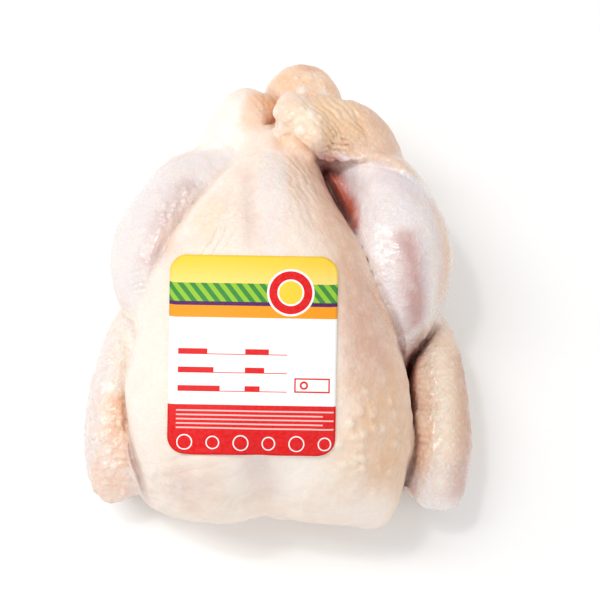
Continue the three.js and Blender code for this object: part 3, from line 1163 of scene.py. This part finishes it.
    def tints(self) -> dict[Tint, list[Region]]:
        """Where each tint shows, and how strongly, painted light and shade among them."""
        fields = self.fields()
        gaps = list(self.gaps().values())
        flank = ((80, 50, 72), (87, 28, 72), (89, 8, 68), (86, -12, 57))
        return {
            # Partly painted light: the patches on the left breast, the breast's front, the left wing and
            # the right wing's top and lower end are made paler where light falls on them; partly pale skin.
            Tint.PALE_AND_LIT: [
                Patch((-31, 90, 66), (16, 18, 26), 0.8),
                Patch((-66, -50, 66), (26, 60, 44), 0.3),
                Stroke(((-20, 78, 76), (-30, 58, 84), (-42, 34, 90), (-54, 8, 90)), 7, 0.7),
                Patch((84, -56, 46), (9, 46, 18), 0.8),
                Patch((0, -96, 80), (24, 20, 22), 0.6),
                Patch((-84, -30, 46), (14, 22, 24), 0.6),
                Patch((46, -112, 58), (20, 7, 20), 0.4),
                Patch((79, -99, 34), (14, 14, 24), 0.8),
            ],
            # Partly painted shade: the right breast's field and the stroke and patch on the right wing's
            # outer side are darkened tan as the side away from the light; the drumstick and ankle are real
            # tan skin.
            Tint.WARM_AND_SHADED: [
                Field(fields["right breast"], 9.0, 0.85),
                Field(fields["right drumstick"], 4.0, 0.75),
                Stroke(((94, -22, 40), (97, -56, 42), (95, -84, 40), (90, -110, 34)), 8, 1.0),
                Patch((94, -24, 40), (10, 14, 16), 0.4),
                Patch((15, 56, 88), (12, 34, 18), 0.45),
                Patch((12, 84, 88), (16, 15, 14), 0.5),
            ],
            Tint.THIN: [
                Field(fields["left thigh"], 4.5, 0.65),
                Field(fields["right thigh"], 1.4, 0.9),
                Patch((-86, -92, 30), (22, 22, 30), 0.45),
                Patch((-94, -56, 36), (9, 50, 24), 0.6),
                Patch((86, -99, 28), (18, 16, 30), 0.6),
                Patch((-2, 34, 96), (8, 50, 20), 0.45),
            ],
            # Partly painted shade: the strokes along the neck end's cleft and the keel's groove, the
            # patches on the lower left lobe and the right breast, and the stroke on the right wing's outer
            # side darken where shade falls; the others are meat showing through.
            Tint.MEAT_AND_SHADE: [
                Stroke(((62, 24, 86), (66, 10, 84), (68, -5, 78), (70, -16, 70), (70, -25, 60)), 6.5, 1.0),
                Stroke(((-12, -84, 95), (-9, -95, 87), (-5, -106, 73), (-4, -114, 56)), 9, 0.3),
                Patch((-38, -104, 66), (16, 9, 18), 0.3),
                Patch((44, -34, 92), (12, 34, 20), 0.3),
                Stroke(flank, 8, 0.5),
                Stroke(((-40, 54, 80), (-48, 41, 84), (-55, 27, 86), (-61, 11, 86), (-65, -2, 82)),
                       6.5, 0.5),
                Stroke(((-17, 60, 92), (-13, 30, 99), (-11, 0, 104)), 4, 0.35),
                Stroke(((48, 58, 82), (62, 48, 82), (74, 34, 78)), 6, 0.25),
                Patch((41, -100, 64), (12, 12, 14), 0.2),
                Stroke(((94, -22, 40), (97, -52, 42), (95, -84, 40), (90, -108, 34)), 8, 0.65),
            ],
            Tint.FAT: [
                Stroke(((-72, -20, 62), (-78, -12, 52), (-83, -5, 42)), 1.8, 0.5),
                Patch((48, -86, 78), (22, 28, 28), 0.2),
                Patch((84, -56, 46), (12, 44, 20), 0.25),
                Patch((30, 86, 82), (18, 16, 14), 0.35),
                Patch((12, 82, 90), (12, 12, 12), 0.4),
                Patch((-34, 22, 94), (8, 16, 12), 0.25),
                Patch((14, 112, 64), (26, 20, 18), 0.3),
                Stroke(((66, -96, 50), (60, -108, 48), (52, -116, 46)), 5, 0.35),
                Stroke(((82, 38, 72), (88, 22, 70), (90, 8, 66), (87, -6, 58), (82, -14, 48)), 9, 0.35),
            ],
            Tint.BLUSH: [
                Field(fields["left ankle"], 4.0, 0.5),
                Patch((-3, 103, 66), (6, 10, 14), 1.0),
                Patch((-86, -98, 38), (14, 12, 16), 0.4),
                Stroke(((-79, -50, 50), (-79, -64, 49), (-77, -80, 48), (-73, -94, 42)), 8, 0.6),
                Patch((8, 73, 80), (14, 6, 12), 0.4),
                Patch((14, 118, 66), (26, 18, 18), 0.4),
                Stroke(((-24, 68, 74), (-36, 47, 85), (-48, 27, 89), (-59, 4, 88)), 3.4, 0.65),
                Stroke(((46, -6, 80), (52, -20, 80), (59, -29, 75), (66, -37, 64), (70, -42, 58)), 3, 0.8),
                Stroke(flank, 8, 0.35),
                Stroke(((75, -26, 46), (72, -46, 46), (73, -66, 46), (72, -82, 44), (68, -98, 40)), 5, 0.4),
            ],
            Tint.GRISTLE: [
                Patch((10, 82, 90), (11, 10, 11), 0.35, turn=-40),
                Stroke(((73, 28, 81), (77, 12, 79), (79, -4, 70), (78, -15, 60)), 3.2, 0.6),
                Patch((13, 112, 68), (5, 4, 5), 0.8),
                Patch((26, 110, 66), (5, 4, 5), 0.8),
                Patch((20, 120, 64), (3, 3, 4), 0.5),
            ],
            # Partly painted shade: the groin's field and the rims of the gaps redden and darken where the
            # creases' shade fades out; the tail's tip and the wing's end are partly the red of meat.
            Tint.FLUSH: [
                Patch((18, 131, 62), (8, 6, 9), 0.4),
                Stroke(((62, -98, 40), (67, -99, 36), (73, -101, 30)), 4, 0.3),
                Field(fields["groin"], 3.0, 1.0, spread=0.1),
                *(Rim(gap) for gap in gaps),
            ],
            # Painted shade: the gaps between masses are darkened to a dark meat red.
            Tint.GAP: gaps,
        }

    def wetness(self) -> list[Region]:
        """Where the skin shines with moisture."""
        return [
            Patch((68, 14, 70), (32, 66, 40), turn=-12),
            Patch((-62, 30, 72), (34, 60, 34), 0.8, turn=22),
            Patch((86, -96, 30), (26, 24, 34), 0.9),
            Patch((-86, -92, 30), (26, 24, 34), 0.7),
            Patch((-54, -92, 84), (20, 26, 26), 0.75),
            Patch((-86, -56, 44), (20, 50, 26), 0.7),
            Patch((50, -90, 76), (20, 24, 26), 0.55),
            Patch((84, -64, 46), (14, 48, 20), 0.7),
            Patch((-26, 20, 98), (16, 28, 16), 0.6),
            Patch((0, 0, 60), (120, 150, 90), 0.35),
        ]

    def goosebumps(self) -> list[Region]:
        """Where the skin has fine goosebumps."""
        return [
            Patch((-88, -50, 40), (24, 64, 34), 0.9),
            Patch((88, -50, 40), (24, 64, 34), 1.0),
            Patch((48, -60, 80), (30, 64, 40), 0.45),
            Patch((50, 90, 70), (34, 30, 34), 0.6),
            Patch((66, 10, 80), (26, 50, 30), 0.45),
            Patch((0, 40, 95), (50, 50, 30), 0.4),
            Patch((14, 112, 64), (30, 26, 22), 0.8),
            Patch((0, 0, 50), (120, 150, 80), 0.2),
        ]

    def flesh(self) -> bpy.types.Mesh:
        """Joins the masses under one even skin.

        Returns:
            The joined mesh, in metres.
        """
        mesh = bmesh.new()
        for mass in self.masses():
            mass.add_to(mesh)
        shells = bpy.data.meshes.new("flesh")
        mesh.to_mesh(shells)
        mesh.free()
        holder = placed("flesh", shells)
        remesh = holder.modifiers.new("skin", "REMESH")
        remesh.mode = "VOXEL"
        remesh.voxel_size = self.voxel * MM
        remesh.adaptivity = 0
        remeshed = holder.evaluated_get(bpy.context.evaluated_depsgraph_get())
        joined = bpy.data.meshes.new_from_object(remeshed)
        bpy.data.objects.remove(holder)
        return joined

    def smoothed(self, mesh: bmesh.types.BMesh) -> None:
        """Takes the steps out of the joined skin, and rounds the creases that it bridges."""
        self._smooth(mesh, mesh.verts, self.smoothings)
        for region, times in self.smooth_zones():
            inside = region.weight(points(mesh)) > 0.5
            self._smooth(mesh, [vert for vert, take in zip(mesh.verts, inside) if take], times)

    @staticmethod
    def _smooth(mesh: bmesh.types.BMesh, verts: list, times: int) -> None:
        """Smooths some of a mesh's points a number of times."""
        verts = list(verts)
        axes = {f"use_axis_{axis}": True for axis in "xyz"}
        for _ in range(times):
            bmesh.ops.smooth_vert(mesh, verts=verts, factor=0.5, **axes)

    def refined(self, mesh: bmesh.types.BMesh, zones: list[Region]) -> None:
        """Cuts the faces that face upward in four in some regions, but for those under the label."""
        for region in zones:
            mesh.normal_update()
            middles = np.array([face.calc_center_median() for face in mesh.faces]) / MM
            upward = np.array([face.normal.z for face in mesh.faces]) > -0.1
            bare = self.label_middle.weight(middles) < 0.5
            inside = (region.weight(middles) > 0.5) & upward & bare
            edges = {edge for face, take in zip(mesh.faces, inside) if take for edge in face.edges}
            bmesh.ops.subdivide_edges(mesh, edges=list(edges), cuts=1, use_grid_fill=True)
            self._smooth(mesh, {vert for edge in edges if edge.is_valid for vert in edge.verts}, 1)

    def parted(self, mesh: bmesh.types.BMesh) -> None:
        """Cuts the gaps between the masses."""
        mesh.normal_update()
        places = points(mesh)
        upward = ease(-0.3, 0.2, np.array([vert.normal.z for vert in mesh.verts]))
        depth = upward * np.max([gap.depth(places) for gap in self.gaps().values()], axis=0)
        for vert, drop in zip(mesh.verts, depth):
            vert.co.z -= drop * MM
        self._smooth(mesh, [vert for vert, drop in zip(mesh.verts, depth) if drop > 0.3], 1)

    def raised(self, mesh: bmesh.types.BMesh) -> None:
        """Raises and sinks the skin by its relief, and presses it flat where it rests."""
        mesh.normal_update()
        places = points(mesh)
        normals = np.array([vert.normal for vert in mesh.verts])
        free = 1 - self.under_label.weight(places)
        layers = {kind: np.zeros(len(places)) for kind in (Unevenness, Bumps, Wrinkles, Fold, Flap)}
        for relief in self.reliefs():
            layers[type(relief)] += free * relief.heights(places)
        height = sum(layers.values())
        # The bumps' heights are kept for their paler tips, and the wrinkles' depths for painted shade in
        # their valleys.
        for name, values in (("tip", layers[Bumps]), ("furrow_shade", -layers[Wrinkles])):
            layer = mesh.verts.layers.float.new(name)
            for vert, value in zip(mesh.verts, values):
                vert[layer] = value
        places += normals * height[:, None]
        places[:, 1] -= NeckEdge().push(places)
        places[:, 2] = np.maximum(places[:, 2], 0)
        for vert, place in zip(mesh.verts, places * MM):
            vert.co = place

    def painted(self, mesh: bpy.types.Mesh) -> None:
        """Writes the weights of the tints, the wetness and the bumps on the mesh's points."""
        places = np.zeros(3 * len(mesh.vertices))
        mesh.vertices.foreach_get("co", places)
        places = places.reshape(-1, 3) / MM
        drift = np.column_stack([lumps(places, 11, seed) for seed in (1.5, 5.5, 9.5)])
        drift += 0.4 * np.column_stack([lumps(places, 4.5, seed) for seed in (2.5, 6.5, 10.5)])
        wandering = places + self.tint_drift * drift
        near = places + self.line_drift * drift
        layers = {tint.name.lower(): regions for tint, regions in self.tints().items()}
        layers |= {"wet": self.wetness(), "bumpy": self.goosebumps()}
        for name, regions in layers.items():
            weight = np.zeros(len(places))
            for region in regions:
                at = wandering if isinstance(region, Patch) else near
                weight = np.maximum(weight, region.weight(at))
            mesh.attributes.new(name, "FLOAT", "POINT").data.foreach_set("value", weight)

    def build(self, groups: Groups) -> bpy.types.Object:
        """Makes the bird's skin in one piece and dresses it.

        Returns:
            The finished piece.
        """
        skin = self.flesh()
        work = bmesh.new()
        work.from_mesh(skin)
        self.smoothed(work)
        self.refined(work, self.shown_zones())
        self.parted(work)
        self.refined(work, self.fine_zones())
        self.raised(work)
        work.to_mesh(skin)
        work.free()
        self.painted(skin)
        piece = dressed("bird_skin", skin, RawSkin().material(groups))
        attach(piece, BODY)
        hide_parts("chicken")
        return piece


@dataclass
class Label:
    """The paper label: a thin sheet with round corners that follows the skin of the breast."""

    width: float = 78.0
    length: float = 93.0
    corner: float = 8.5
    turn: float = -1.0
    raised: float = 22.0
    middle: Point = (-10.0, -51.5, 100.5)
    press_point: Point = (12.0, -235.0, 625.0)
    gap: float = 0.35
    thick: float = 0.2
    steps: tuple[int, int] = (54, 62)
    drape: int = 12

    def rounded(self, x: float, y: float) -> tuple[float, float]:
        """A point of the square sheet, pulled in where it lies outside a round corner."""
        flat_x, flat_y = self.width / 2 - self.corner, self.length / 2 - self.corner
        over_x, over_y = abs(x) - flat_x, abs(y) - flat_y
        if over_x <= 0 or over_y <= 0:
            return x, y
        pull = max(over_x, over_y) / math.hypot(over_x, over_y)
        return math.copysign(flat_x + over_x * pull, x), math.copysign(flat_y + over_y * pull, y)

    def sheet(self) -> bmesh.types.BMesh:
        """The flat sheet as cut, with its own map, held over the breast with its tail end raised.

        Returns:
            The sheet's mesh, in millimetres.
        """
        mesh = bmesh.new()
        across, along = self.steps
        bmesh.ops.create_grid(mesh, x_segments=across, y_segments=along, size=0.5)
        layer = mesh.loops.layers.uv.new("flat")
        for vert in mesh.verts:
            vert.co.xy = self.rounded(vert.co.x * self.width, vert.co.y * self.length)
        for face in mesh.faces:
            for loop in face.loops:
                loop[layer].uv = (loop.vert.co.x / self.width + 0.5, loop.vert.co.y / self.length + 0.5)
        turned = Matrix.Rotation(math.radians(self.turn), 4, "Z")
        tilted = Matrix.Rotation(math.radians(self.raised), 4, "X") @ turned
        bmesh.ops.transform(mesh, matrix=Matrix.Translation(self.middle) @ tilted, verts=mesh.verts)
        return mesh

    def laid(self, mesh: bmesh.types.BMesh, skin: bpy.types.Object) -> None:
        """Presses the sheet on the skin along lines from one point, and turns it to metres."""
        tree = BVHTree.FromObject(skin, bpy.context.evaluated_depsgraph_get())
        bmesh.ops.scale(mesh, vec=(MM, MM, MM), verts=mesh.verts)
        source = Vector(self.press_point) * MM
        for vert in mesh.verts:
            vert.co, *_ = tree.ray_cast(source, (vert.co - source).normalized())
        bmesh.ops.recalc_face_normals(mesh, faces=mesh.faces)
        for _ in range(self.drape):
            bmesh.ops.smooth_vert(mesh, verts=mesh.verts, factor=0.5, use_axis_z=True)
        for vert in mesh.verts:
            hit, *_ = tree.ray_cast(Vector((vert.co.x, vert.co.y, 1)), Vector((0, 0, -1)))
            vert.co.z = max(vert.co.z, hit.z)
        mesh.normal_update()
        for vert in mesh.verts:
            vert.co += vert.normal * self.gap * MM

    def build(self, groups: Groups, skin: bpy.types.Object) -> bpy.types.Object:
        """Makes the label on the skin and dresses it.

        Returns:
            The finished piece.
        """
        work = self.sheet()
        self.laid(work, skin)
        mesh = bpy.data.meshes.new("label_sheet")
        work.to_mesh(mesh)
        work.free()
        piece = dressed("label_sheet", mesh, PrintedPaper(self.width, self.length).material(groups))
        wall = piece.modifiers.new("thickness", "SOLIDIFY")
        wall.thickness = self.thick * MM
        wall.offset = 1
        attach(piece, BODY)
        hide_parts("label")
        return piece


@dataclass
class Studio:
    """The pale floor, the soft lights and the camera over the neck end."""

    target: Point = (0.012, -0.003, 0.050)
    elevation: float = 68.0
    distance: float = 0.620
    half_frame: float = 0.156
    sensor: float = 36.0
    floor_size: float = 12.0
    surround: float = 0.62

    def floor(self, groups: Groups) -> None:
        """Makes the floor under the bird."""
        mesh = bmesh.new()
        bmesh.ops.create_grid(mesh, x_segments=1, y_segments=1, size=self.floor_size / 2)
        data = bpy.data.meshes.new("floor")
        mesh.to_mesh(data)
        mesh.free()
        data.materials.append(PaleFloor().material(groups))
        floor = placed("floor", data)

    def light(self, name: str, place: tuple, size: tuple, power: float, colour: tuple) -> None:
        """Adds a soft light that faces the bird.

        Args:
            name: The light's name.
            place: Where it is, in metres.
            size: Its width and length.
            power: Its power in watts.
            colour: Its colour.
        """
        data = bpy.data.lights.new(name, "AREA")
        data.shape = "RECTANGLE"
        data.size, data.size_y = size
        data.energy = power
        data.color = colour
        lamp = placed(name, data)
        lamp.location = place
        lamp.rotation_euler = (Vector(self.target) - lamp.location).to_track_quat("-Z", "Y").to_euler()

    def lights(self) -> None:
        """Sets the key light at the left, a weak fill, a small light for the glints and a pale surround."""
        self.light("key", (-0.8, 0.15, 1.25), (0.45, 1.1), 8.8, (1.0, 0.99, 0.97))
        self.light("fill", (0.7, -0.7, 1.2), (1.2, 1.2), 3.7, (1.0, 0.97, 0.94))
        self.light("glint", (-0.35, 0.1, 1.2), (0.1, 0.1), 1.3, (1.0, 1.0, 1.0))
        world = bpy.data.worlds.new("surround")
        world.use_nodes = True
        glow = world.node_tree.nodes["Background"].inputs
        glow["Color"].default_value = (1.0, 1.0, 1.0, 1.0)
        glow["Strength"].default_value = self.surround
        bpy.context.scene.world = world

    def camera(self) -> None:
        """Sets the camera that looks down on the bird from its neck end."""
        data = bpy.data.cameras.new("camera")
        data.sensor_width = self.sensor
        data.lens = self.sensor / 2 * self.distance / self.half_frame
        rise = math.radians(self.elevation)
        eye = placed("camera", data)
        away = Vector((0, -math.cos(rise), math.sin(rise))) * self.distance
        eye.location = Vector(self.target) + away
        eye.rotation_euler = (-away).to_track_quat("-Z", "Y").to_euler()
        bpy.context.scene.camera = eye

    def build(self, groups: Groups) -> None:
        """Sets up everything around the bird."""
        self.floor(groups)
        self.lights()
        self.camera()
        bpy.context.scene.view_settings.view_transform = "Standard"


def report(piece: bpy.types.Object) -> None:
    """Logs how large a piece is."""
    shape = piece.evaluated_get(bpy.context.evaluated_depsgraph_get()).to_mesh()
    triangles = sum(len(polygon.vertices) - 2 for polygon in shape.polygons)
    log.info("%s: %d triangles", piece.name, triangles)


def main() -> None:
    """Builds the bird, its label and the studio."""
    logging.basicConfig(level=logging.INFO)
    groups = Groups()
    skin = Bird().build(groups)
    report(skin)
    report(Label().build(groups, skin))
    Studio().build(groups)


if __name__ == "__main__":
    main()
